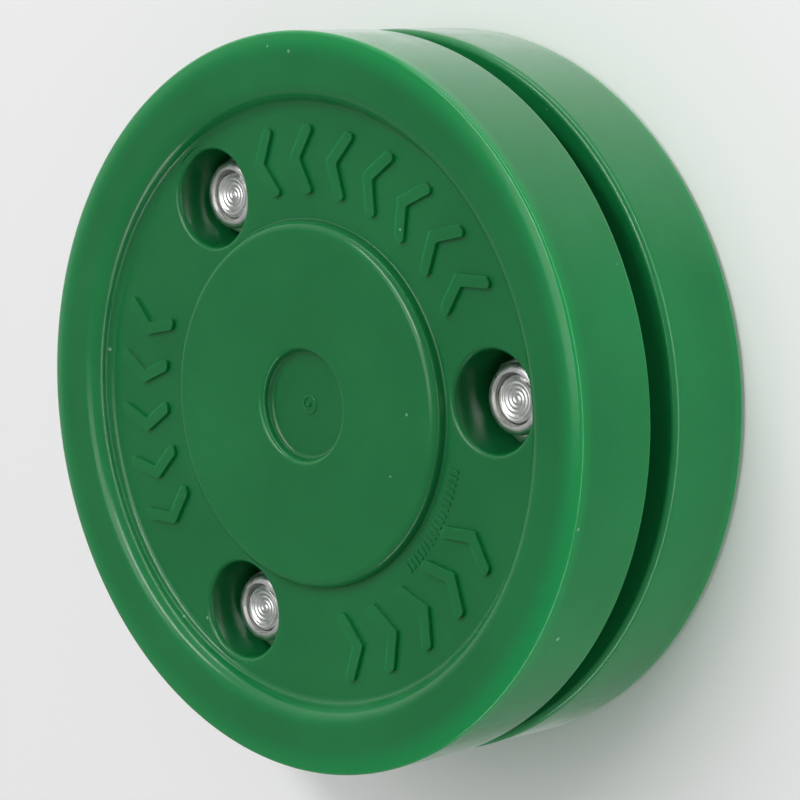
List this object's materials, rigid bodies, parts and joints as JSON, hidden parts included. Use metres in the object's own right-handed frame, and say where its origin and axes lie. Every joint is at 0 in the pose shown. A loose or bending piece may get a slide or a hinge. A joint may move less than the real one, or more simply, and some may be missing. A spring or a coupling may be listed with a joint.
{
  "type": "hockey puck",
  "caption": "Off-ice training puck: two round moulded discs with a gap between them, held by recessed screws and lock nuts with a little play.",
  "frame": {"origin": "centre of the underside, on the surface that the puck lies on", "axes": "+Z along the puck's axis, out of the nut side; +X from the axis to the first fastener"},
  "size_m": [0.0762, 0.0762, 0.0254],
  "materials": {
    "green_plastic": "moulded gloss",
    "zinc_steel": "bright zinc plated",
    "nylon": "translucent grey nylon"
  },
  "bodies": {
    "bottom_disc": {"bottom_disc": "green_plastic"},
    "top_disc": {"top_disc": "green_plastic"},
    "fastener_1": {"screw_1": "zinc_steel", "lock_nut_1": "zinc_steel", "nylon_ring_1": "nylon", "head_washer_1": "zinc_steel"},
    "fastener_2": {"screw_2": "zinc_steel", "lock_nut_2": "zinc_steel", "nylon_ring_2": "nylon", "head_washer_2": "zinc_steel"},
    "fastener_3": {"screw_3": "zinc_steel", "lock_nut_3": "zinc_steel", "nylon_ring_3": "nylon", "head_washer_3": "zinc_steel"}
  },
  "joints": [
    {"name": "disc_float", "type": "slide", "parent": "bottom_disc", "child": "top_disc", "axis": [0, 0, 1], "range_m": [0, 0.00085]},
    {"name": "fastener_1_spin", "type": "hinge", "parent": "top_disc", "child": "fastener_1", "pos_m": [0.0254, 0, 0.0154], "axis": [0, 0, 1], "continuous": true},
    {"name": "fastener_2_spin", "type": "hinge", "parent": "top_disc", "child": "fastener_2", "pos_m": [-0.0127, 0.022, 0.0154], "axis": [0, 0, 1], "continuous": true},
    {"name": "fastener_3_spin", "type": "hinge", "parent": "top_disc", "child": "fastener_3", "pos_m": [-0.0127, -0.022, 0.0154], "axis": [0, 0, 1], "continuous": true}
  ]
}
